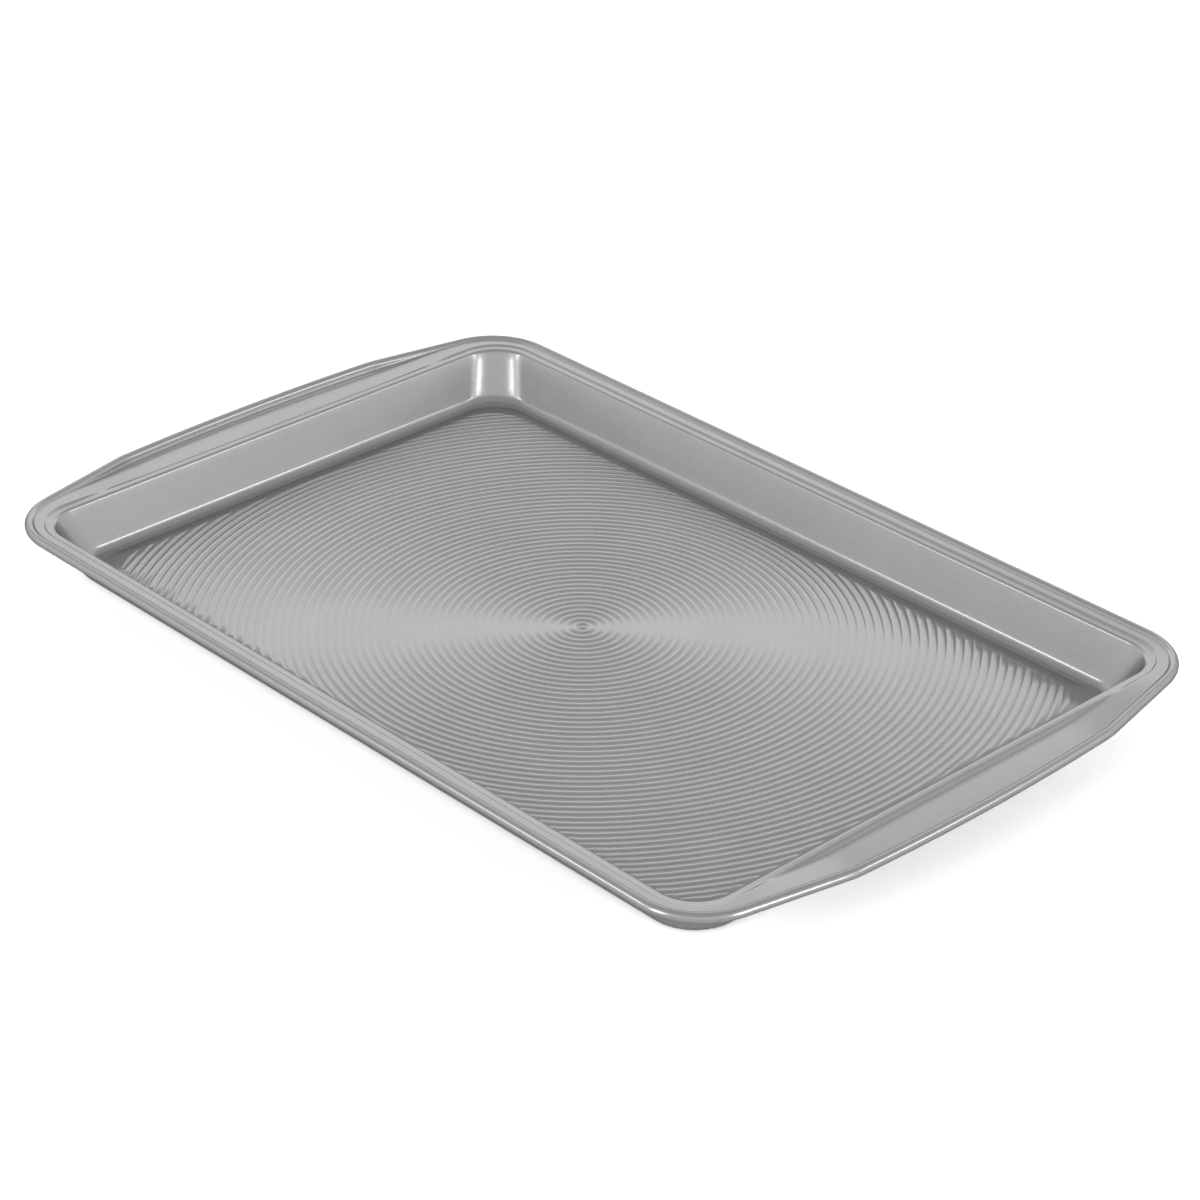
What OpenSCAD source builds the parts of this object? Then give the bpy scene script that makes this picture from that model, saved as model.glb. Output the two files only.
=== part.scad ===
// Jelly roll pan pressed from one steel sheet, with a wire rolled into its rim.
// Millimetres, +Z up. The origin is the middle of the underside, on the surface
// that the pan rests on. X runs along the pan, towards its two handles.

/* [Overall] */
// Length over the two handles
overall_l = 433; // [426:1:446]
// Width over the rolled edge
overall_w = 276; // [272:1:284]
// Thickness of the coated steel sheet
sheet_t = 0.8; // [0.6:0.1:1]

/* [Walls] */
// How far a wall leans out between its foot and its top, alike on all four sides
wall_run = 7; // [5:0.5:7.5]
// Depth inside, from the channel floor up to the top of the walls
depth = 20.2; // [14:0.2:30]
// Inside corner radius of the opening
opening_r = 19; // [16:1:24]
// Inside radius where a wall meets the floor
foot_bend_r = 4; // [2:0.25:4.5]
// Inside radius where a wall turns out into the rim
brow_bend_r = 1; // [0.5:0.25:2]

/* [Ringed floor] */
// Distance from the opening in to the raised panel, at the ends
panel_end_gap = 19.5; // [18.5:0.5:31]
// Distance from the opening in to the raised panel, along the sides
panel_side_gap = 19; // [18:0.5:31]
// Corner radius of the raised floor panel
panel_r = 17; // [8:1:25]
// Height of the panel above the channel floor
panel_rise = 2.2; // [1.5:0.1:3]
// Width of the ramp between the panel and the channel
ramp_w = 8; // [5:0.5:8]
// Distance from one pressed ring to the next
ring_pitch = 3.5; // [2.5:0.25:6]
// Width of a pressed groove
groove_w = 1.6; // [1:0.1:2]
// Depth of a pressed groove
groove_d = 0.35; // [0.2:0.05:0.6]

/* [Rim] */
// Distance from the outer edge in to the opening, across a handle
rim_end_w = 25; // [23:0.5:29]
// Distance from the outer edge in to the opening, along the sides
rim_side_w = 11.5; // [10.5:0.25:15]
// Width of the flat band beside the opening
band_w = 3.1; // [2:0.1:3.5]
// Height of the flange above the band
flange_step = 0.6; // [0.2:0.1:1]
// Width of the slope between the band and the flange
flange_step_w = 0.8; // [0.6:0.1:1.4]
// Outer corner radius of the rim
rim_r = 30; // [26:1:33]
// Height of the centre of the rolled edge below the flange
roll_drop = 0.55; // [0.2:0.05:0.8]

/* [Rim wire] */
// Diameter of the wire
wire_d = 2.4; // [2:0.1:2.8]
// Gap all round the wire inside the rolled edge
wire_fit = 0.08; // [0.06:0.01:0.2]
// Gap between the two ends of the wire, on one long side
wire_end_gap = 0.5; // [0.2:0.1:2]

/* [Handles] */
// Distance between the two kinks in a handle's outer edge
handle_w = 135; // [128:1:150]
// How far the handle's outer edge bows out between its kinks
handle_bow = 2.1; // [1.5:0.1:3]
// Radius of a kink
kink_r = 20; // [10:5:40]
// Depth of the dish in the handle, below the flange
dish_d = 2; // [0.8:0.1:2.4]
// Width of the dish's slopes
dish_slope = 3; // [2:0.25:3.5]
// Flat left between the dish and the rolled edge
dish_edge = 0.4; // [0.2:0.1:1]
// Length of the dish beyond each kink
dish_over = 30; // [12:1:32]
// Lean of the straight part between a kink and the corner, in degrees
taper_a = 12; // [10:1:16]

/* [Hidden] */
$fn = 96;
sheet_grey = "#a5a3a2";
wire_grey = "#8c8e90";
eps = 0.01;

// Heights of the sheet's upper face
channel_z = sheet_t;
panel_z = channel_z + panel_rise;
band_z = channel_z + depth;
flange_z = band_z + flange_step;
dish_z = flange_z - dish_d;

// Rolled edge, round the wire
roll_in_r = wire_d / 2 + wire_fit;
roll_r = roll_in_r + sheet_t;
roll_z = flange_z - roll_drop;

// Opening and raised panel, inwards from the outer edge
opening_l = overall_l - 2 * rim_end_w;
opening_w = overall_w - 2 * rim_side_w;
panel_l = opening_l - 2 * panel_end_gap;
panel_w = opening_w - 2 * panel_side_gap;

// Walls, band and step: their corners turn about one fixed centre
wall_cx = opening_l / 2 - opening_r;
wall_cy = opening_w / 2 - opening_r;
foot_r = opening_r - wall_run;
wall_tilt = atan2(wall_run, depth);
foot_cut = foot_bend_r * tan((90 - wall_tilt) / 2);
brow_cut = (brow_bend_r + sheet_t) * tan((90 - wall_tilt) / 2);
step_r = opening_r + band_w;
flange_r = step_r + flange_step_w;

// Flat lengths by which neighbouring parts of the sheet run into each other
lap = 0.5;
// Distance by which a dish begins before the step
dish_lead = dish_slope * flange_step / dish_d;
// Opening left between the sheet's rolled end and the flange, in degrees
roll_slit = 14;
// Distance from the outer edge at which the flange ends and the rolled edge begins
roll_start = 2 * roll_r + 0.2;

// Outer edge of a handle: a bowed middle, a kink, a straight taper and the corner
bow_half = handle_w / 2;
bow_r = (bow_half * bow_half + handle_bow * handle_bow) / (2 * handle_bow);
bow_cx = overall_l / 2 - bow_r;
bow_a = asin(bow_half / bow_r);
kink_cx = bow_cx + (bow_r - kink_r) * cos(bow_a);
kink_cy = (bow_r - kink_r) * sin(bow_a);
rim_cy = overall_w / 2 - rim_r;
taper_run = (rim_cy - kink_cy + (rim_r - kink_r) * sin(taper_a)) / cos(taper_a);
rim_cx = kink_cx + (kink_r - rim_r) * cos(taper_a) - taper_run * sin(taper_a);

function arc(cx, cy, r, a0, a1, n) = [
    for (i = [0:n]) let (a = a0 + (a1 - a0) * i / n) [cx + r * cos(a), cy + r * sin(a)]
];

// The quarter of the rim's outer edge at +X +Y, moved in by d
function rim_quarter(d) = concat(
    arc(bow_cx, 0, bow_r - d, 0, bow_a, 3),
    arc(kink_cx, kink_cy, kink_r - d, (2 * bow_a + taper_a) / 3, taper_a, 2),
    arc(rim_cx, rim_cy, rim_r - d, taper_a, 90, 10)
);

function reversed(p) = [for (i = [len(p) - 1:-1:0]) p[i]];
function rest(p) = [for (i = [1:len(p) - 1]) p[i]];
function flip(p, sx, sy) = [for (q = p) [q[0] * sx, q[1] * sy]];

// The whole outer edge, moved in by d, once round from the middle of the +Y side
function rim_outline(d) = concat(
    reversed(flip(rim_quarter(d), -1, 1)),
    rest(flip(rim_quarter(d), -1, -1)),
    reversed(flip(rim_quarter(d), 1, -1)),
    rest(rim_quarter(d))
);

module rounded_rect(l, w, r) {
    square([l, w - 2 * r], center = true);
    square([l - 2 * r, w], center = true);
    for (x = [-1, 1], y = [-1, 1]) translate([x * (l / 2 - r), y * (w / 2 - r)]) circle(r = r);
}

// Carries a section round a rectangle with rounded corners. The section lies in X and Y:
// X is its distance from the corner centres at (cx, cy), and Y is its height.
module round_rectangle(cx, cy) {
    for (s = [0, 1]) rotate([0, 0, 180 * s]) {
        translate([cx, cy, 0]) rotate_extrude(angle = 90) children();
        translate([-cx, cy, 0]) rotate([0, 0, 90]) rotate_extrude(angle = 90) children();
        translate([0, cy, 0]) rotate([90, 0, 90]) linear_extrude(2 * cx, center = true) children();
        translate([cx, 0, 0]) rotate([90, 0, 0]) linear_extrude(2 * cy, center = true) children();
    }
}

// Carries a closed section round the rim's outer edge as one skin. Each point of the section
// is [d, z]: its distance in from the edge, and its height. With a gap, the skin is open
// there, in the middle of the +Y side.
module round_rim(section, gap = 0) {
    n = len(section);
    rings = [
        for (p = section) let (o = rim_outline(p[0])) gap > 0
            ? concat([[-gap / 2, o[0][1]]], o, [[gap / 2, o[0][1]]])
            : o
    ];
    m = len(rings[0]);
    points = [for (j = [0:m - 1], i = [0:n - 1]) [rings[i][j][0], rings[i][j][1], section[i][1]]];
    last = gap > 0 ? m - 2 : m - 1;
    sides = [
        for (j = [0:last], i = [0:n - 1])
            let (k = (j + 1) % m, h = (i + 1) % n)
                [j * n + i, k * n + i, k * n + h, j * n + h]
    ];
    ends = gap > 0
        ? [[for (i = [0:n - 1]) i], [for (i = [n - 1:-1:0]) (m - 1) * n + i]]
        : [];
    polyhedron(points, concat(sides, ends));
}

// Section from the channel up the wall, over the brow, along the band and up the step.
// The upper face is listed outwards, and the lower face back inwards.
module wall_section() {
    foot_c = [foot_r - foot_cut, channel_z + foot_bend_r];
    brow_c = [opening_r + brow_cut, band_z - brow_bend_r - sheet_t];
    polygon(concat(
        [[foot_c[0] - lap, channel_z]],
        arc(foot_c[0], foot_c[1], foot_bend_r, -90, -wall_tilt, 4),
        arc(brow_c[0], brow_c[1], brow_bend_r + sheet_t, 180 - wall_tilt, 90, 4),
        [
            [step_r, band_z],
            [flange_r, flange_z],
            [flange_r + lap, flange_z],
            [flange_r + lap, flange_z - sheet_t],
            [flange_r, flange_z - sheet_t],
            [step_r, band_z - sheet_t]
        ],
        arc(brow_c[0], brow_c[1], brow_bend_r, 90, 180 - wall_tilt, 4),
        arc(foot_c[0], foot_c[1], foot_bend_r + sheet_t, -wall_tilt, -90, 4),
        [[foot_c[0] - lap, 0]]
    ));
}

// Section of the slope between the panel and the channel
module ramp_section() {
    polygon([
        [panel_r - lap, panel_z],
        [panel_r, panel_z],
        [panel_r + ramp_w, channel_z],
        [panel_r + ramp_w + lap, channel_z],
        [panel_r + ramp_w + lap, 0],
        [panel_r + ramp_w, 0],
        [panel_r, panel_z - sheet_t],
        [panel_r - lap, panel_z - sheet_t]
    ]);
}

// An arc in the rim's section, about the centre of the wire
function roll_arc(r, a0, a1, n) = arc(roll_r, roll_z, r, a0, a1, n);

// Section of the rolled edge. The sheet leaves the flange, turns over the wire and down
// its outer side, and ends just under the flange.
function roll_section() = let (
    top_a = asin(roll_drop / roll_r),
    low_a = asin((roll_drop - sheet_t) / roll_in_r),
    end_a = 360 + low_a - roll_slit
) concat(
    [[roll_start, flange_z]],
    roll_arc(roll_r, top_a, end_a, 14),
    roll_arc(roll_in_r, end_a, low_a, 14),
    [[roll_start, flange_z - sheet_t]]
);

// Floor pressed into concentric rings, thick as the sheet, cut off at the panel's edge
module ringed_panel() {
    far = norm([panel_l / 2, panel_w / 2]);
    rings = ceil(far / ring_pitch);
    grooves = [
        for (k = [0:rings - 1], j = [-1:1])
            [(k + 0.5) * ring_pitch + j * groove_w / 2, panel_z - (j == 0 ? groove_d : 0)]
    ];
    upper = concat([[0, panel_z]], grooves, [[(rings + 0.5) * ring_pitch, panel_z]]);
    lower = [for (p = reversed(upper)) [p[0], p[1] - sheet_t]];
    intersection() {
        rotate_extrude($fn = 180) polygon(concat(upper, lower));
        linear_extrude(panel_z + 1) rounded_rect(panel_l, panel_w, panel_r);
    }
}

// Flat floor of the channel round the panel
module channel_floor() {
    end = foot_r - foot_cut;
    linear_extrude(sheet_t) difference() {
        rounded_rect(2 * (wall_cx + end), 2 * (wall_cy + end), end);
        rounded_rect(panel_l + 2 * ramp_w, panel_w + 2 * ramp_w, panel_r + ramp_w);
    }
}

// Outline of a dish at +X, shrunk by d on every side. The handle's own edge sets its outer side.
module dish_outline(d) {
    inner = wall_cx + step_r - dish_lead + d;
    end = bow_half + dish_over - d;
    intersection() {
        polygon(rim_outline(roll_start + dish_edge + d));
        translate([inner, -end]) square([overall_l, 2 * end]);
    }
}

// The block between a dish and the flange's level, lowered by drop
module dish_block(drop) {
    hull() {
        translate([0, 0, flange_z - drop - eps]) linear_extrude(eps) dish_outline(0);
        translate([0, 0, dish_z - drop]) linear_extrude(eps) dish_outline(dish_slope);
    }
}

// Flat flange between the step and the rolled edge
module flange() {
    translate([0, 0, flange_z - sheet_t]) linear_extrude(sheet_t) difference() {
        polygon(rim_outline(roll_start));
        rounded_rect(2 * (wall_cx + flange_r), 2 * (wall_cy + flange_r), flange_r);
    }
}

// Walls with the rim's flat parts, and a dish pressed into each handle
module walls_and_rim() {
    difference() {
        union() {
            round_rectangle(wall_cx, wall_cy) wall_section();
            flange();
            for (s = [0, 1]) mirror([s, 0, 0]) dish_block(sheet_t);
        }
        for (s = [0, 1]) mirror([s, 0, 0]) dish_block(-eps);
    }
}

module pan_body() {
    color(sheet_grey) union() {
        ringed_panel();
        round_rectangle(panel_l / 2 - panel_r, panel_w / 2 - panel_r) ramp_section();
        channel_floor();
        walls_and_rim();
        round_rim(roll_section());
    }
}

// One wire bent round the rim, its ends butted in the middle of a long side
module rim_wire() {
    color(wire_grey) round_rim(roll_arc(wire_d / 2, 0, 330, 11), wire_end_gap);
}

pan_body();
rim_wire();
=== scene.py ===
import math

import bmesh
import bpy
import numpy as np
from mathutils import Matrix, Vector


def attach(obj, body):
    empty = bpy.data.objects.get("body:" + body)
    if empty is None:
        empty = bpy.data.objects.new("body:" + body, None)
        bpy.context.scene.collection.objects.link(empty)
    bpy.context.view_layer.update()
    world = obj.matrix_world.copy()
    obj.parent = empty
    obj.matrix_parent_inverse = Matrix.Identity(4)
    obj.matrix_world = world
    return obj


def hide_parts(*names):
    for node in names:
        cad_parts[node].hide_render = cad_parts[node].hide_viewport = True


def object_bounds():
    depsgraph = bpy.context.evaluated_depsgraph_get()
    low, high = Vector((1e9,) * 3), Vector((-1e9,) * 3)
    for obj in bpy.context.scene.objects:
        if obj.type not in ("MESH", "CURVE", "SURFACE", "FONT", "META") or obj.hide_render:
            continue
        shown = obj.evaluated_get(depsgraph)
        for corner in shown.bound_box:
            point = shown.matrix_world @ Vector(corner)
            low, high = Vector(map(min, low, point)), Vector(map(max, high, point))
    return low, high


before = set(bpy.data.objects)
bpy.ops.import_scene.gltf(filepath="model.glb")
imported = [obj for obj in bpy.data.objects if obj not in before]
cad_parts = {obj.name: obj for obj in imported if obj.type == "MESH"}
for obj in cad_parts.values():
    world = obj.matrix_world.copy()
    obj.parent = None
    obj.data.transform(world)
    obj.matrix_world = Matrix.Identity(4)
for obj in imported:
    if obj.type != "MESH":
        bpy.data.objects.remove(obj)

MM = 0.001
cad_low, cad_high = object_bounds()

# Thickness of the sheet, and heights of its upper face. The flange rises a little towards
# the rolled edge.
SHEET = 0.8
CHANNEL_Z = 0.8
PANEL_Z = 3.0
BAND_Z = 21.0
FLANGE_Z = 21.65
FLANGE_LIFT = 0.15
DISH_Z = 19.6

# Plan of the sheet at the turns of its section. Each turn has a half width, what the half
# length is more than that, and a corner radius: the raised floor panel's edge, the bottom of
# the channel round it, the foot and the brow of the wall, and the band's edge at the step up
# to the flange.
PANEL_W, PANEL_MORE, PANEL_R = 107.5, 64.5, 17.0
TROUGH_W, TROUGH_MORE, TROUGH_R = 115.7, 64.6, 17.6
FOOT_W, FOOT_MORE, FOOT_R = 120.0, 64.8, 18.5
BROW_W, BROW_MORE, BROW_R = 126.5, 65.0, 16.8
STEP_W, STEP_MORE, STEP_R = 129.6, 65.0, 19.2

# Pressed rings. They stop just inside the panel's edge and run out into the ramp in two
# loops, at these distances beyond that edge.
RING_PITCH = 3.5
GROOVE_DEPTH = 0.32
GROOVE_SHARPNESS = 3.0
RING_EDGE = -0.2
RUN_OUT = (0.5, 1.0)

# Section of the wall. The ramp round the panel rounds out in a trough, a ledge leaves that, a
# tighter bend turns it up into the wall and the brow turns it out into the band. Its first
# loop lies RAMP_START beyond the last loop of the rings. Tilts are in degrees.
RAMP_TILT = 16.0
RAMP_START = 0.6
TROUGH_BEND = 6.5
LEDGE_TILT = 20.0
FOOT_BEND = 3.8
WALL_TILT = 70.1
BROW_BEND = 1.5

# Outer edge of the rim, just inside the solid pan's: each handle is a shallow bow between two
# kinks, from which the edge tapers to the corners
EDGE_GAP = 0.012
HALF_L = cad_high[0] / MM - EDGE_GAP
HALF_W = cad_high[1] / MM - EDGE_GAP
RIM_R = 30.0
BOW_HALF = 67.5
BOW_RISE = 2.1
KINK_R = 20.0
TAPER = math.radians(12.0)

# Rolled edge, the bend at its root along the flange and along a dish, and the wire inside
ROLL_R = 2.06
ROLL_Z = 21.04
ROLL_END = math.radians(332.0)
ROOT_BEND = 0.6
DISH_ROOT_BEND = 0.9
WIRE_R = 1.2
WIRE_GAP = 0.5
WIRE_SIDES = 20

# Dish in each handle: it has its full depth out to DISH_FULL from the middle of the
# handle, and ends at DISH_END. The slopes down to it and up to the flange have a run each.
DISH_FULL = 62.0
DISH_END = 114.0
STEP_RUN = 1.0
DISH_RUN = 2.8

# Segments of a quarter of the rim: half an end, a corner, half a long side. Their points lie
# at the places END_T, CORNER_T and SIDE_T, from 0 to 1 along each.
END_SEGS = 34
CORNER_SEGS = 18
SIDE_SEGS = 14
END_T = np.linspace(0, 1, END_SEGS + 1)[:-1]
CORNER_T = np.linspace(0, 1, CORNER_SEGS + 1)[:-1]
SIDE_T = np.linspace(0, 1, SIDE_SEGS + 1)

# Segments across the section, and the places of the loops across the flange
TROUGH_SEGS = 9
FOOT_SEGS = 9
WALL_SEGS = 6
BROW_SEGS = 8
STEP_SEGS = 8
FLANGE_PLACES = (0.12, 0.33, 0.66, 0.9)
ROOT_SEGS = 6
ROLL_SEGS = 26

# Places within a ring at which the floor has an edge, and its segments round a ring, on the
# upper and on the lower face
UPPER_STEPS = (0.0, 0.2, 0.32, 0.41, 0.5, 0.59, 0.68, 0.8)
UPPER_TURNS = 108
LOWER_STEPS = (0.0, 0.3, 0.5, 0.7)
LOWER_TURNS = 72

# Cuts that bring the flat disc to the panel's outline: degrees between those that round off
# a corner, the room left round the panel before them, how near a cut a face has to come to be
# given to it, and how near a point counts as on it
CUT_STEP = 10
CUT_ROOM = 8.0
CUT_NEAR = 1e-6
CUT_DIST = 1e-5

# Finish of a metal: shares of its flake and its mottle in the tone, grains of its relief per
# flake, detail of the mottle and the grain, and the relief's height in metres
FLAKE_SHARE = 0.45
MOTTLE_SHARE = 0.55
GRAINS_PER_FLAKE = 0.4
MOTTLE_DETAIL = 3.0
GRAIN_DETAIL = 2.0
RELIEF = 0.0001

# Floor: its half width in metres, its colour to the eye, and its colour in the light that it
# gives back to the pan
FLOOR_HALF = 30.0
FLOOR_SEEN = (2.75, 2.72, 2.77)
FLOOR_COLOUR = (0.8, 0.8, 0.8)

# The camera stands off the pan's near corner, at CAMERA_AT in metres. VIEW is the direction
# in plan in which it looks, as an angle from +X.
VIEW = math.radians(90 + 46.536)
TILT = math.radians(29.418)
ROLL = math.radians(0.442)
CAMERA_AT = (0.88591, -0.83010, 0.69988)
CAMERA_LENS = 105.143
CAMERA_SENSOR = 36.0


# Plan curves


def whole_loop(quarter):
    """Mirrors points or normals of a quarter, from the +X to the +Y axis, into a whole loop."""
    parts = []
    for sx, sy, back in ((1, 1, False), (-1, 1, True), (-1, -1, False), (1, -1, True)):
        part = quarter * (sx, sy)
        if back:
            part = part[::-1]
        parts.append(part[:-1])
    return np.concatenate(parts)


def rounded_rectangle(half_w):
    """Loop of the sheet's plan at one half width, blended between the section's turns."""
    turns_w = (PANEL_W, TROUGH_W, FOOT_W, BROW_W, STEP_W)
    more = np.interp(half_w, turns_w, (PANEL_MORE, TROUGH_MORE, FOOT_MORE, BROW_MORE, STEP_MORE))
    r = np.interp(half_w, turns_w, (PANEL_R, TROUGH_R, FOOT_R, BROW_R, STEP_R))
    half_l = half_w + more
    cx, cy = half_l - r, half_w - r
    turn = CORNER_T * math.pi / 2
    return whole_loop(np.concatenate([
        np.stack([np.full(END_SEGS, half_l), END_T * cy], 1),
        np.stack([cx + r * np.cos(turn), cy + r * np.sin(turn)], 1),
        np.stack([(1 - SIDE_T) * cx, np.full(SIDE_SEGS + 1, half_w)], 1),
    ]))


def rim_outline():
    """The rim's outer edge: bowed handles, kinks, tapers and corners, with its normals."""
    bow_r = (BOW_HALF ** 2 + BOW_RISE ** 2) / (2 * BOW_RISE)
    bow_cx = HALF_L - bow_r
    bow_a = math.asin(BOW_HALF / bow_r)
    kink_cx = bow_cx + (bow_r - KINK_R) * math.cos(bow_a)
    kink_cy = (bow_r - KINK_R) * math.sin(bow_a)
    kink_end = kink_cy + KINK_R * math.sin(TAPER)
    rim_cy = HALF_W - RIM_R
    corner_y = rim_cy + RIM_R * math.sin(TAPER)
    taper_x = kink_cx + KINK_R * math.cos(TAPER)
    corner_x = taper_x - (corner_y - kink_end) * math.tan(TAPER)
    rim_cx = corner_x - RIM_R * math.cos(TAPER)
    point, normal = [], []
    for y in END_T * corner_y:
        if y < bow_r * math.sin(bow_a):
            a = math.asin(y / bow_r)
            x = bow_cx + bow_r * math.cos(a)
        elif y < kink_end:
            a = math.asin((y - kink_cy) / KINK_R)
            x = kink_cx + KINK_R * math.cos(a)
        else:
            a = TAPER
            x = taper_x - (y - kink_end) * math.tan(TAPER)
        point.append((x, y))
        normal.append((math.cos(a), math.sin(a)))
    for t in CORNER_T:
        a = TAPER + t * (math.pi / 2 - TAPER)
        point.append((rim_cx + RIM_R * math.cos(a), rim_cy + RIM_R * math.sin(a)))
        normal.append((math.cos(a), math.sin(a)))
    for t in SIDE_T:
        point.append(((1 - t) * rim_cx, HALF_W))
        normal.append((0.0, 1.0))
    return whole_loop(np.array(point)), whole_loop(np.array(normal))


def smooth(x, low, high):
    """Goes from 0 at low to 1 at high, level at both ends."""
    t = np.clip((x - low) / (high - low), 0, 1)
    return t * t * (3 - 2 * t)


# Section of the sheet


def arc(centre, radius, first, last, segments):
    """Points of an arc in the section, between two angles in degrees."""
    turn = np.radians(np.linspace(first, last, segments + 1))
    return centre + radius * np.column_stack([np.cos(turn), np.sin(turn)])


def wall_section():
    """The upper face from the ramp's top, through the trough and up the wall, to the band."""
    trough = np.array([TROUGH_W, CHANNEL_Z + TROUGH_BEND])
    low = arc(trough, TROUGH_BEND, -90 - RAMP_TILT, -90 + LEDGE_TILT, TROUGH_SEGS)
    inward = trough - low[-1]
    foot = low[-1] + inward * (FOOT_BEND / TROUGH_BEND)
    foot = arc(foot, FOOT_BEND, -90 + LEDGE_TILT, -90 + WALL_TILT, FOOT_SEGS)
    # The straight wall runs on until its height is that of the brow's beginning
    brow_z = BAND_Z - BROW_BEND
    lean = np.array([math.cos(math.radians(WALL_TILT)), math.sin(math.radians(WALL_TILT))])
    top = foot[-1] + lean * (brow_z + BROW_BEND * lean[0] - foot[-1][1]) / lean[1]
    brow_at = (top[0] + BROW_BEND * lean[1], brow_z)
    brow = arc(brow_at, BROW_BEND, 90 + WALL_TILT, 90, BROW_SEGS)
    face = [foot[-1] + (top - foot[-1]) * k / WALL_SEGS for k in range(1, WALL_SEGS)]
    slope = math.tan(math.radians(RAMP_TILT))
    start = PANEL_W + RUN_OUT[1] + RAMP_START
    first = (start, low[0][1] + slope * (low[0][0] - start))
    return np.concatenate([[first], low, foot[1:], face, brow, [(STEP_W, BAND_Z)]])


def inner_loops():
    """Loops of the upper face from the ramp's top to the edge of the band."""
    loops = []
    for w, z in wall_section():
        xy = rounded_rectangle(w)
        loops.append(np.column_stack([xy, np.full(len(xy), z)]))
    return loops


def outer_loops():
    """Loops of the upper face from the band's edge to the end of the rolled edge."""
    band = rounded_rectangle(STEP_W)
    edge, normal = rim_outline()
    # How much of the dish's depth each station of the rim has: none on the long sides
    on_end = np.abs(normal[:, 0]) > 0.5
    dish = np.where(on_end, 1 - smooth(np.abs(edge[:, 1]), DISH_FULL, DISH_END), 0.0)
    floor_z = FLANGE_Z + FLANGE_LIFT - (FLANGE_Z + FLANGE_LIFT - DISH_Z) * dish
    start_z = FLANGE_Z - (FLANGE_Z - DISH_Z) * dish
    bend = ROOT_BEND + (DISH_ROOT_BEND - ROOT_BEND) * dish
    # The bend at the root of the rolled edge touches the roll from outside
    rise = floor_z + bend - ROLL_Z
    bend_d = ROLL_R + np.sqrt((ROLL_R + bend) ** 2 - rise ** 2)
    touch = np.arctan2(rise, bend_d - ROLL_R)
    foot = edge - normal * bend_d[:, None]
    span = np.linalg.norm(foot - band, axis=1)
    run = (STEP_RUN + (DISH_RUN - STEP_RUN) * dish) / span
    loops = []
    for t in np.linspace(0, 1, STEP_SEGS + 1)[1:]:
        xy = band + (foot - band) * (t * run)[:, None]
        z = BAND_Z + (start_z - BAND_Z) * smooth(t, 0, 1)
        loops.append(np.column_stack([xy, z]))
    for t in FLANGE_PLACES:
        u = run + (1 - run) * t
        xy = band + (foot - band) * u[:, None]
        z = start_z + (floor_z - start_z) * t
        loops.append(np.column_stack([xy, z]))
    for t in np.linspace(0, 1, ROOT_SEGS + 1):
        a = math.radians(-90) - t * (math.radians(90) - touch)
        d = bend_d + bend * np.cos(a)
        z = floor_z + bend + bend * np.sin(a)
        loops.append(np.column_stack([edge - normal * d[:, None], z]))
    for t in np.linspace(0, 1, ROLL_SEGS + 1)[1:]:
        a = touch + t * (ROLL_END - touch)
        d = ROLL_R + ROLL_R * np.cos(a)
        z = ROLL_Z + ROLL_R * np.sin(a)
        loops.append(np.column_stack([edge - normal * d[:, None], z]))
    return loops


def lower_face(grid):
    """The lower face: the upper one moved along its own normals by the sheet's thickness."""
    along = np.roll(grid, -1, 1) - np.roll(grid, 1, 1)
    out = np.empty_like(grid)
    out[1:-1] = grid[2:] - grid[:-2]
    out[0] = grid[1] - grid[0]
    out[-1] = grid[-1] - grid[-2]
    n = np.cross(out, along)
    n /= np.linalg.norm(n, axis=2, keepdims=True)
    return grid - n * SHEET


# Ringed floor


def clip_to_panel(bm):
    """Cuts a flat disc to the panel's outline, one straight cut at a time."""
    half_w = PANEL_W + RING_EDGE
    half_l = half_w + PANEL_MORE
    r = PANEL_R + RING_EDGE
    cuts = [((half_l, 0), 0), ((0, half_w), 90), ((-half_l, 0), 180), ((0, -half_w), 270)]
    for sx, sy, first in ((1, 1, 0), (-1, 1, 90), (-1, -1, 180), (1, -1, 270)):
        for turn in range(CUT_STEP, 90, CUT_STEP):
            a = math.radians(first + turn)
            touch = (
                sx * (half_l - r) + r * math.cos(a),
                sy * (half_w - r) + r * math.sin(a),
            )
            cuts.append((touch, first + turn))
    for (x, y), a in cuts:
        a = math.radians(a)
        n = Vector((math.cos(a), math.sin(a), 0))
        at = Vector((x, y, 0))
        # Only what reaches past the cut is given to it, once each and always in the same order
        geom = {}
        for f in bm.faces:
            if max((v.co - at).dot(n) for v in f.verts) > -CUT_NEAR:
                geom.update(dict.fromkeys([f, *f.edges, *f.verts]))
        bmesh.ops.bisect_plane(
            bm, geom=list(geom), dist=CUT_DIST, plane_co=at, plane_no=n, clear_outer=True
        )


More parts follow.
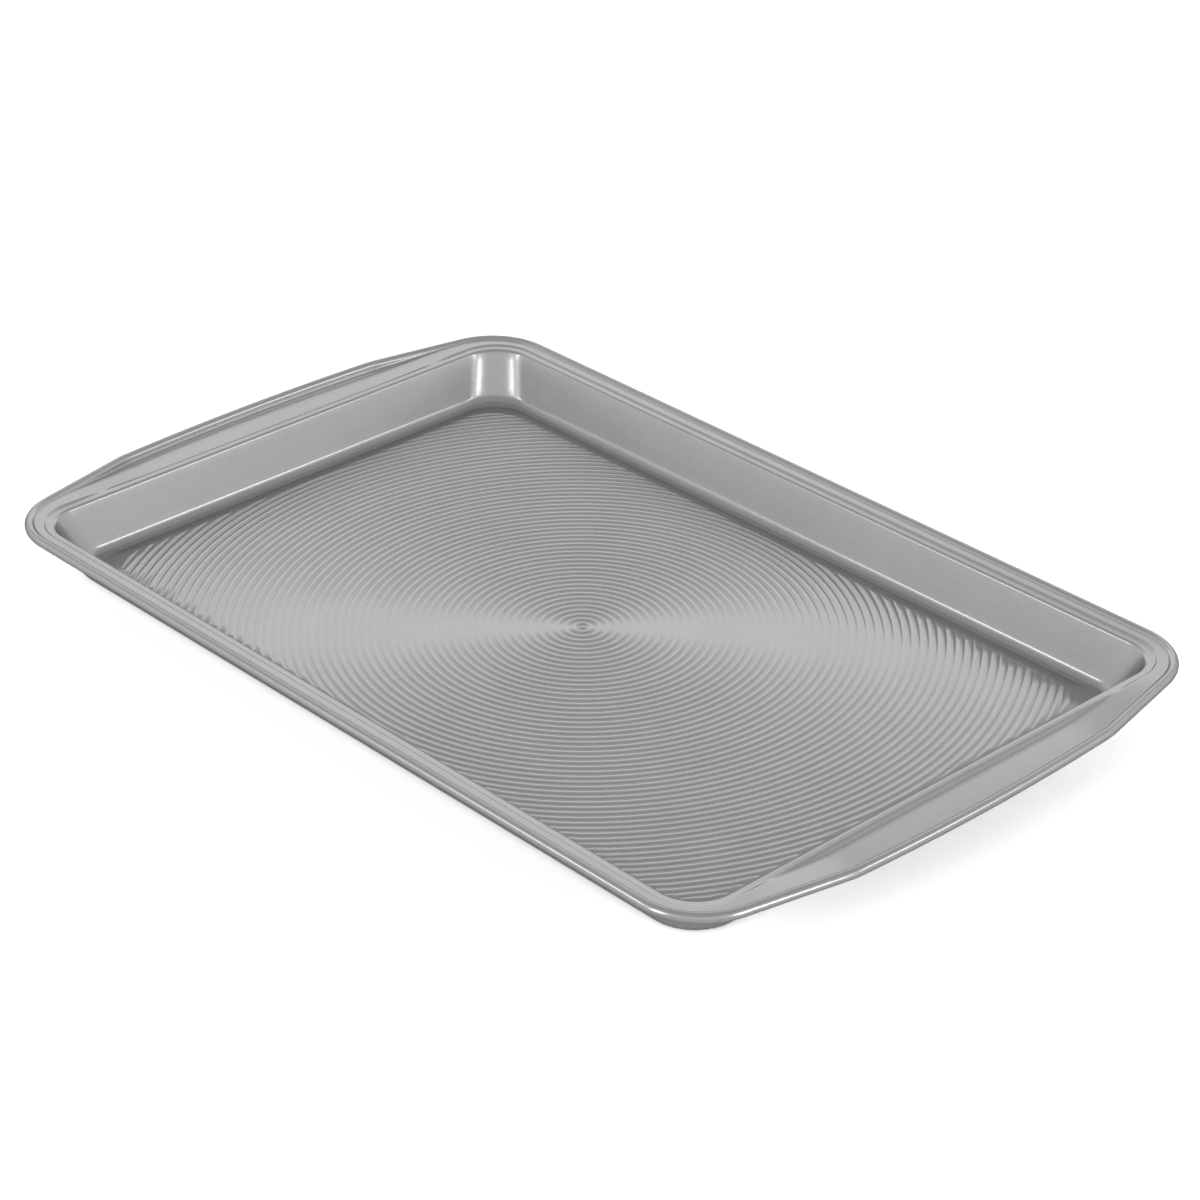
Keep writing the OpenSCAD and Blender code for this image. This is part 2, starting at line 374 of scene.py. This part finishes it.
def flat_disc(name, steps, turns):
    """Flat disc in polar steps, cut to the panel's outline. steps are places in one ring."""
    reach = math.hypot(PANEL_W, PANEL_W + PANEL_MORE) + RING_PITCH
    radii = [
        (k + s) * RING_PITCH
        for k in range(int(reach / RING_PITCH) + 1)
        for s in steps
    ]
    radii = [r for r in radii if r > 0]
    angles = np.arange(turns) * 2 * math.pi / turns
    circle = np.stack([np.cos(angles), np.sin(angles)], 1)
    xy = np.concatenate([[[0, 0]]] + [circle * r for r in radii])
    verts = np.column_stack([xy, np.zeros(len(xy))])
    faces = [(0, 1 + i, 1 + (i + 1) % turns) for i in range(turns)]
    limit_l = PANEL_W + PANEL_MORE + CUT_ROOM
    limit_w = PANEL_W + CUT_ROOM
    near = (np.abs(xy[:, 0]) < limit_l) & (np.abs(xy[:, 1]) < limit_w)
    for j in range(len(radii) - 1):
        a, b = 1 + j * turns, 1 + (j + 1) * turns
        for i in range(turns):
            k = (i + 1) % turns
            if near[a + i] or near[a + k] or near[b + i] or near[b + k]:
                faces.append((a + i, b + i, b + k, a + k))
    mesh = bpy.data.meshes.new(name)
    mesh.from_pydata(verts.tolist(), [], faces)
    bm = bmesh.new()
    bm.from_mesh(mesh)
    bmesh.ops.delete(bm, geom=[v for v in bm.verts if not v.link_faces], context="VERTS")
    clip_to_panel(bm)
    bm.to_mesh(mesh)
    bm.free()
    return mesh


def math_node(tree, operation, a, b=None):
    """A math node whose inputs are numbers or sockets. Gives back its output."""
    node = tree.nodes.new("ShaderNodeMath")
    node.operation = operation
    for socket, value in zip(node.inputs, (a, b)):
        if value is None:
            continue
        if isinstance(value, (int, float)):
            socket.default_value = value
        else:
            tree.links.new(value, socket)
    return node.outputs[0]


def add_socket(tree, name, in_out, kind):
    tree.interface.new_socket(name, in_out=in_out, socket_type="NodeSocket" + kind)


def finish_nodes(tree, geometry, material):
    """Ends a geometry node tree: everything is made real and given one material."""
    nodes, links = tree.nodes, tree.links
    realize = nodes.new("GeometryNodeRealizeInstances")
    paint = nodes.new("GeometryNodeSetMaterial")
    result = nodes.new("NodeGroupOutput")
    links.new(geometry, realize.inputs[0])
    links.new(realize.outputs[0], paint.inputs["Geometry"])
    links.new(material, paint.inputs["Material"])
    links.new(paint.outputs[0], result.inputs[0])


def ring_press():
    """Geometry nodes that press a flat disc into rings about its middle."""
    tree = bpy.data.node_groups.new("ring_press", "GeometryNodeTree")
    add_socket(tree, "Geometry", "INPUT", "Geometry")
    for name in ("Ring pitch", "Groove depth", "Groove sharpness", "Height"):
        add_socket(tree, name, "INPUT", "Float")
    add_socket(tree, "Material", "INPUT", "Material")
    add_socket(tree, "Geometry", "OUTPUT", "Geometry")
    nodes, links = tree.nodes, tree.links
    given = nodes.new("NodeGroupInput")
    position = nodes.new("GeometryNodeInputPosition")
    length = nodes.new("ShaderNodeVectorMath")
    length.operation = "LENGTH"
    links.new(position.outputs[0], length.inputs[0])
    turns = math_node(tree, "DIVIDE", length.outputs["Value"], given.outputs["Ring pitch"])
    wave = math_node(tree, "COSINE", math_node(tree, "MULTIPLY", turns, 2 * math.pi))
    dip = math_node(tree, "MULTIPLY", math_node(tree, "SUBTRACT", 1.0, wave), 0.5)
    groove = math_node(tree, "POWER", dip, given.outputs["Groove sharpness"])
    down = math_node(tree, "MULTIPLY", groove, given.outputs["Groove depth"])
    height = math_node(tree, "SUBTRACT", given.outputs["Height"], down)
    offset = nodes.new("ShaderNodeCombineXYZ")
    links.new(height, offset.inputs["Z"])
    move = nodes.new("GeometryNodeSetPosition")
    links.new(given.outputs["Geometry"], move.inputs["Geometry"])
    links.new(offset.outputs[0], move.inputs["Offset"])
    finish_nodes(tree, move.outputs[0], given.outputs["Material"])
    return tree


def run_nodes(name, mesh, tree, values):
    """Runs a geometry node tree on a mesh and gives back the plain mesh that it makes."""
    source = bpy.data.objects.new(name, mesh)
    bpy.context.scene.collection.objects.link(source)
    modifier = source.modifiers.new("make", "NODES")
    modifier.node_group = tree
    for item in tree.interface.items_tree:
        if item.in_out == "INPUT" and item.name in values:
            modifier[item.identifier] = values[item.name]
    graph = bpy.context.evaluated_depsgraph_get()
    made = bpy.data.meshes.new_from_object(source.evaluated_get(graph))
    source.modifiers.remove(modifier)
    bpy.data.objects.remove(source)
    return made


def edge_of(mesh):
    """The mesh's outer edge as a loop of vertex numbers, anticlockwise from above."""
    bm = bmesh.new()
    bm.from_mesh(mesh)
    following = {}
    for e in bm.edges:
        if len(e.link_faces) == 1:
            loop = e.link_loops[0]
            following[loop.vert.index] = loop.link_loop_next.vert.index
    bm.free()
    first = min(following)
    chain = [first]
    while following[chain[-1]] != first:
        chain.append(following[chain[-1]])
    return chain


def run_out(points, drop):
    """Loops that carry the cut ends of the rings out into the ramp."""
    cx = PANEL_W + PANEL_MORE - PANEL_R
    cy = PANEL_W - PANEL_R
    low_w = TROUGH_W - TROUGH_BEND * math.sin(math.radians(RAMP_TILT))
    low_z = CHANNEL_Z + TROUGH_BEND * (1 - math.cos(math.radians(RAMP_TILT)))
    slope = math.tan(math.radians(RAMP_TILT))
    xy = points[:, :2]
    core = np.clip(xy, (-cx, -cy), (cx, cy))
    out = xy - core
    out /= np.linalg.norm(out, axis=1, keepdims=True)
    loops = []
    for more in RUN_OUT:
        ramp_z = low_z + slope * (low_w - PANEL_W - more)
        z = np.minimum(points[:, 2], ramp_z - drop)
        loops.append(np.column_stack([core + out * (PANEL_R + more), z]))
    return loops


# The pressed sheet


def angles_of(xy):
    """Angles of a loop's points about the middle of the pan, without a jump."""
    return np.unwrap(np.arctan2(xy[:, 1], xy[:, 0]))


def zip_faces(inner, inner_xy, outer, outer_xy, flip):
    """Triangles between two loops that have different numbers of points."""
    whole = 2 * math.pi
    turn_in = angles_of(inner_xy)
    turn_out = angles_of(outer_xy)
    apart = (turn_in - turn_out[0] + math.pi) % whole - math.pi
    start = int(np.argmin(np.abs(apart)))
    inner = list(np.roll(inner, -start))
    turn_in = angles_of(np.roll(inner_xy, -start, 0))
    turn_in += whole * round((turn_out[0] - turn_in[0]) / whole)
    inner.append(inner[0])
    outer = list(outer) + [outer[0]]
    turn_in = np.append(turn_in, turn_in[0] + whole)
    turn_out = np.append(turn_out, turn_out[0] + whole)
    faces = []
    i = j = 0
    while i < len(inner) - 1 or j < len(outer) - 1:
        step_inner = j == len(outer) - 1 or (
            i < len(inner) - 1 and turn_in[i + 1] < turn_out[j + 1]
        )
        if step_inner:
            face = (inner[i], outer[j], inner[i + 1])
            i += 1
        else:
            face = (inner[i], outer[j], outer[j + 1])
            j += 1
        faces.append(face[::-1] if flip else face)
    return faces


def loop_faces(inner, outer, flip):
    """Quads between two loops of vertex numbers that have as many points."""
    faces = []
    count = len(inner)
    for i in range(count):
        k = (i + 1) % count
        face = (inner[i], outer[i], outer[k], inner[k])
        faces.append(face[::-1] if flip else face)
    return faces


def sheet_mesh(name, coating):
    """The whole sheet as one closed mesh, its floor pressed into rings on both faces."""
    tree = ring_press()
    shell = np.array(inner_loops() + outer_loops())
    stations = shell.shape[1]
    sides = (
        (False, 0.0, UPPER_STEPS, UPPER_TURNS, shell),
        (True, SHEET, LOWER_STEPS, LOWER_TURNS, lower_face(shell)),
    )
    verts, faces, ends = [], [], []
    count = 0
    for flip, drop, steps, turns, grid in sides:
        flat = flat_disc("floor_disc", steps, turns)
        disc = run_nodes("floor_disc", flat, tree, {
            "Ring pitch": RING_PITCH,
            "Groove depth": GROOVE_DEPTH,
            "Groove sharpness": GROOVE_SHARPNESS,
            "Height": PANEL_Z - drop,
            "Material": coating,
        })
        edge = np.array(edge_of(disc))
        co = np.array([v.co for v in disc.vertices])
        verts.append(co)
        for polygon in disc.polygons:
            face = tuple(count + v for v in polygon.vertices)
            faces.append(face[::-1] if flip else face)
        inner = count + edge
        count += len(co)
        for loop in run_out(co[edge], drop):
            verts.append(loop)
            here = count + np.arange(len(loop))
            faces += loop_faces(inner, here, flip)
            inner = here
            inner_xy = loop[:, :2]
            count += len(loop)
        here = count + np.arange(stations)
        faces += zip_faces(inner, inner_xy, here, grid[0][:, :2], flip)
        for j, loop in enumerate(grid):
            verts.append(loop)
            if j:
                faces += loop_faces(here - stations, here, flip)
            count += stations
            here = here + stations
        ends.append(here - stations)
    # The sheet's own edge, at the end of the roll
    faces += loop_faces(ends[0], ends[1], False)
    mesh = bpy.data.meshes.new(name)
    places = np.concatenate(verts) * MM
    mesh.from_pydata(places.tolist(), [], [[int(v) for v in face] for face in faces])
    mesh.materials.append(coating)
    mesh.shade_smooth()
    mesh.validate()
    return mesh


# The wire


def wire_drawer():
    """Geometry nodes that draw a round wire along a path."""
    tree = bpy.data.node_groups.new("wire_drawer", "GeometryNodeTree")
    add_socket(tree, "Geometry", "INPUT", "Geometry")
    add_socket(tree, "Wire radius", "INPUT", "Float")
    add_socket(tree, "Sides", "INPUT", "Int")
    add_socket(tree, "Material", "INPUT", "Material")
    add_socket(tree, "Geometry", "OUTPUT", "Geometry")
    nodes, links = tree.nodes, tree.links
    given = nodes.new("NodeGroupInput")
    path = nodes.new("GeometryNodeMeshToCurve")
    section = nodes.new("GeometryNodeCurvePrimitiveCircle")
    draw = nodes.new("GeometryNodeCurveToMesh")
    draw.inputs["Fill Caps"].default_value = True
    links.new(given.outputs["Geometry"], path.inputs["Mesh"])
    links.new(given.outputs["Sides"], section.inputs["Resolution"])
    links.new(given.outputs["Wire radius"], section.inputs["Radius"])
    links.new(path.outputs[0], draw.inputs["Curve"])
    links.new(section.outputs[0], draw.inputs["Profile Curve"])
    finish_nodes(tree, draw.outputs[0], given.outputs["Material"])
    return tree


def wire_mesh(steel):
    """The wire in the rolled edge, its ends butted in the middle of the +Y side."""
    edge, normal = rim_outline()
    path = edge - normal * ROLL_R
    middle = int(np.argmax(path[:, 1] - np.abs(path[:, 0])))
    path = np.roll(path, -middle, 0)
    y = path[0, 1]
    path = np.concatenate([[(-WIRE_GAP / 2, y)], path[1:], [(WIRE_GAP / 2, y)]])
    verts = np.column_stack([path, np.full(len(path), ROLL_Z)]) * MM
    mesh = bpy.data.meshes.new("wire_path")
    mesh.from_pydata(verts.tolist(), [(i, i + 1) for i in range(len(verts) - 1)], [])
    made = run_nodes("wire_path", mesh, wire_drawer(), {
        "Wire radius": WIRE_R * MM,
        "Sides": WIRE_SIDES,
        "Material": steel,
    })
    made.shade_smooth()
    return made


# Materials


def speckle_group():
    """Fine metal flake and a faint mottle: masks from 0 to 1 over the surface."""
    tree = bpy.data.node_groups.new("metal_speckle", "ShaderNodeTree")
    for name in ("Flake size", "Mottle size"):
        add_socket(tree, name, "INPUT", "Float")
    for name in ("Flake", "Mottle", "Grain"):
        add_socket(tree, name, "OUTPUT", "Float")
    nodes, links = tree.nodes, tree.links
    given = nodes.new("NodeGroupInput")
    result = nodes.new("NodeGroupOutput")
    place = nodes.new("ShaderNodeTexCoord")
    cells = nodes.new("ShaderNodeTexVoronoi")
    cells.feature = "F1"
    links.new(place.outputs["Object"], cells.inputs["Vector"])
    per_flake = math_node(tree, "DIVIDE", 1.0, given.outputs["Flake size"])
    links.new(per_flake, cells.inputs["Scale"])
    tone = nodes.new("ShaderNodeSeparateColor")
    links.new(cells.outputs["Color"], tone.inputs[0])
    links.new(tone.outputs[0], result.inputs["Flake"])
    mottle = nodes.new("ShaderNodeTexNoise")
    mottle.inputs["Detail"].default_value = MOTTLE_DETAIL
    links.new(place.outputs["Object"], mottle.inputs["Vector"])
    per_mottle = math_node(tree, "DIVIDE", 1.0, given.outputs["Mottle size"])
    links.new(per_mottle, mottle.inputs["Scale"])
    links.new(mottle.outputs[0], result.inputs["Mottle"])
    grain = nodes.new("ShaderNodeTexNoise")
    grain.inputs["Detail"].default_value = GRAIN_DETAIL
    links.new(place.outputs["Object"], grain.inputs["Vector"])
    per_grain = math_node(tree, "DIVIDE", GRAINS_PER_FLAKE, given.outputs["Flake size"])
    links.new(per_grain, grain.inputs["Scale"])
    links.new(grain.outputs[0], result.inputs["Grain"])
    return tree


def spread(tree, value, low, high):
    """Maps a mask from 0..1 to low..high."""
    node = tree.nodes.new("ShaderNodeMapRange")
    node.inputs["To Min"].default_value = low
    node.inputs["To Max"].default_value = high
    tree.links.new(value, node.inputs["Value"])
    return node.outputs[0]


def metal(name, group, light, dark, metallic, edge, roughness, flake, mottle, bump):
    """A coated or drawn metal: two tones, uneven roughness and a fine relief.

    Sizes of flake and mottle are in metres, and edge is the metal's tint at a grazing view.
    """
    material = bpy.data.materials.new(name)
    material.use_nodes = True
    tree = material.node_tree
    nodes, links = tree.nodes, tree.links
    nodes.clear()
    shader = nodes.new("ShaderNodeBsdfPrincipled")
    output = nodes.new("ShaderNodeOutputMaterial")
    links.new(shader.outputs[0], output.inputs["Surface"])
    shader.inputs["Metallic"].default_value = metallic
    shader.inputs["Specular Tint"].default_value = (*edge, 1)
    speckle = nodes.new("ShaderNodeGroup")
    speckle.node_tree = group
    speckle.inputs["Flake size"].default_value = flake
    speckle.inputs["Mottle size"].default_value = mottle
    blend = math_node(
        tree, "ADD",
        math_node(tree, "MULTIPLY", speckle.outputs["Flake"], FLAKE_SHARE),
        math_node(tree, "MULTIPLY", speckle.outputs["Mottle"], MOTTLE_SHARE),
    )
    mix = nodes.new("ShaderNodeMix")
    mix.data_type = "RGBA"
    links.new(blend, mix.inputs["Factor"])
    mix.inputs["A"].default_value = (*dark, 1)
    mix.inputs["B"].default_value = (*light, 1)
    links.new(mix.outputs["Result"], shader.inputs["Base Color"])
    links.new(spread(tree, speckle.outputs["Flake"], *roughness), shader.inputs["Roughness"])
    relief = nodes.new("ShaderNodeBump")
    relief.inputs["Strength"].default_value = bump
    relief.inputs["Distance"].default_value = RELIEF
    links.new(speckle.outputs["Grain"], relief.inputs["Height"])
    links.new(relief.outputs[0], shader.inputs["Normal"])
    return material


# Floor, camera and light


def matt(tree, colour):
    """A matt shader of one colour. Gives back its output."""
    shader = tree.nodes.new("ShaderNodeBsdfDiffuse")
    shader.inputs["Color"].default_value = (*colour, 1)
    return shader.outputs[0]


def mixed(tree, factor, first, second):
    """A mix of two shaders. Gives back its output."""
    mix = tree.nodes.new("ShaderNodeMixShader")
    tree.links.new(factor, mix.inputs[0])
    tree.links.new(first, mix.inputs[1])
    tree.links.new(second, mix.inputs[2])
    return mix.outputs[0]


def studio_floor():
    """A wide white floor. To the camera it is as white as the backdrop, but for its shadow."""
    side = FLOOR_HALF
    mesh = bpy.data.meshes.new("studio_floor")
    corners = [(-side, -side, 0), (side, -side, 0), (side, side, 0), (-side, side, 0)]
    mesh.from_pydata(corners, [], [(0, 1, 2, 3)])
    floor = bpy.data.objects.new("studio_floor", mesh)
    bpy.context.scene.collection.objects.link(floor)
    material = bpy.data.materials.new("white_floor")
    material.use_nodes = True
    tree = material.node_tree
    nodes, links = tree.nodes, tree.links
    nodes.clear()
    plain = matt(tree, FLOOR_COLOUR)
    seen = matt(tree, FLOOR_SEEN)
    path = nodes.new("ShaderNodeLightPath")
    whole = mixed(tree, path.outputs["Is Camera Ray"], plain, seen)
    output = nodes.new("ShaderNodeOutputMaterial")
    links.new(whole, output.inputs["Surface"])
    mesh.materials.append(material)


def set_camera():
    ahead = Vector((math.cos(VIEW), math.sin(VIEW), 0))
    across = Vector((math.sin(VIEW), -math.cos(VIEW), 0))
    rise = Vector((0, 0, 1))
    up = math.sin(TILT) * ahead + math.cos(TILT) * rise
    back = -math.cos(TILT) * ahead + math.sin(TILT) * rise
    right = math.cos(ROLL) * across + math.sin(ROLL) * up
    top = -math.sin(ROLL) * across + math.cos(ROLL) * up
    data = bpy.data.cameras.new("camera")
    data.sensor_width = CAMERA_SENSOR
    data.lens = CAMERA_LENS
    data.clip_start = 0.01
    data.clip_end = 100.0
    camera = bpy.data.objects.new("camera", data)
    turn = Matrix((right, top, back)).transposed().to_4x4()
    camera.matrix_world = Matrix.Translation(CAMERA_AT) @ turn
    bpy.context.scene.collection.objects.link(camera)
    bpy.context.scene.camera = camera


def soft_box(name, azimuth, elevation, distance, size, radiance):
    """A softbox that faces the pan, its size and distance in metres.

    Azimuth is in degrees clockwise from the direction of the view.
    """
    a = VIEW - math.radians(azimuth)
    e = math.radians(elevation)
    towards = Vector((math.cos(a) * math.cos(e), math.sin(a) * math.cos(e), math.sin(e)))
    at = distance * towards
    data = bpy.data.lights.new(name, "AREA")
    data.shape = "RECTANGLE"
    data.size, data.size_y = size
    data.energy = radiance * math.pi * size[0] * size[1]
    light = bpy.data.objects.new(name, data)
    turn = at.to_track_quat("Z", "Y").to_matrix().to_4x4()
    light.matrix_world = Matrix.Translation(at) @ turn
    bpy.context.scene.collection.objects.link(light)


def studio_world(sides, top, low, high):
    """A white tent of light. Its radiance goes from sides to top between two elevations.

    To the camera it is plain white.
    """
    world = bpy.data.worlds.new("studio")
    bpy.context.scene.world = world
    world.use_nodes = True
    tree = world.node_tree
    nodes, links = tree.nodes, tree.links
    nodes.clear()
    direction = nodes.new("ShaderNodeTexCoord")
    parts = nodes.new("ShaderNodeSeparateXYZ")
    links.new(direction.outputs["Generated"], parts.inputs[0])
    fade = nodes.new("ShaderNodeMapRange")
    fade.interpolation_type = "SMOOTHSTEP"
    fade.inputs["From Min"].default_value = math.sin(math.radians(low))
    fade.inputs["From Max"].default_value = math.sin(math.radians(high))
    fade.inputs["To Min"].default_value = sides
    fade.inputs["To Max"].default_value = top
    links.new(parts.outputs["Z"], fade.inputs["Value"])
    room = nodes.new("ShaderNodeBackground")
    room.inputs["Color"].default_value = (1, 1, 1, 1)
    links.new(fade.outputs[0], room.inputs["Strength"])
    white = nodes.new("ShaderNodeBackground")
    white.inputs["Color"].default_value = (1, 1, 1, 1)
    white.inputs["Strength"].default_value = 1.0
    path = nodes.new("ShaderNodeLightPath")
    whole = mixed(tree, path.outputs["Is Camera Ray"], room.outputs[0], white.outputs[0])
    output = nodes.new("ShaderNodeOutputWorld")
    links.new(whole, output.inputs["Surface"])


# Building it

set_camera()
speckle = speckle_group()
coating = metal(
    "satin_coating",
    speckle,
    light=(0.73, 0.72, 0.72),
    dark=(0.61, 0.60, 0.60),
    metallic=0.66,
    edge=(0.12, 0.1, 0.1),
    roughness=(0.19, 0.23),
    flake=0.0005,
    mottle=0.03,
    bump=0.03,
)
steel = metal(
    "drawn_steel",
    speckle,
    light=(0.58, 0.58, 0.58),
    dark=(0.46, 0.46, 0.47),
    metallic=1.0,
    edge=(0.9, 0.9, 0.9),
    roughness=(0.28, 0.36),
    flake=0.0002,
    mottle=0.006,
    bump=0.15,
)

pan = bpy.data.objects.new("pressed_sheet", sheet_mesh("pressed_sheet", coating))
wire = bpy.data.objects.new("rim_loop", wire_mesh(steel))
for piece, node, slot in ((pan, "pan_body", "coated_sheet"), (wire, "rim_wire", "wire")):
    bpy.context.scene.collection.objects.link(piece)
    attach(piece, "root")
    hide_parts(node)

studio_floor()
studio_world(sides=0.58, top=0.29, low=34, high=54)
# A wide box beyond the pan lights the flats. On each side, the corner box makes the bright
# strips at the far corner, and the side box those along the foot of the walls.
soft_box("backdrop_box", 0, 24, distance=2.2, size=(2.4, 0.8), radiance=0.5)
for side, hand in ((-1, "left"), (1, "right")):
    soft_box(hand + "_corner_box", side * 131, 14, distance=2.0, size=(0.5, 0.8), radiance=4.5)
    soft_box(hand + "_side_box", side * 102, 24, distance=2.0, size=(0.5, 0.4), radiance=2.4)

bpy.context.scene.view_settings.view_transform = "Standard"
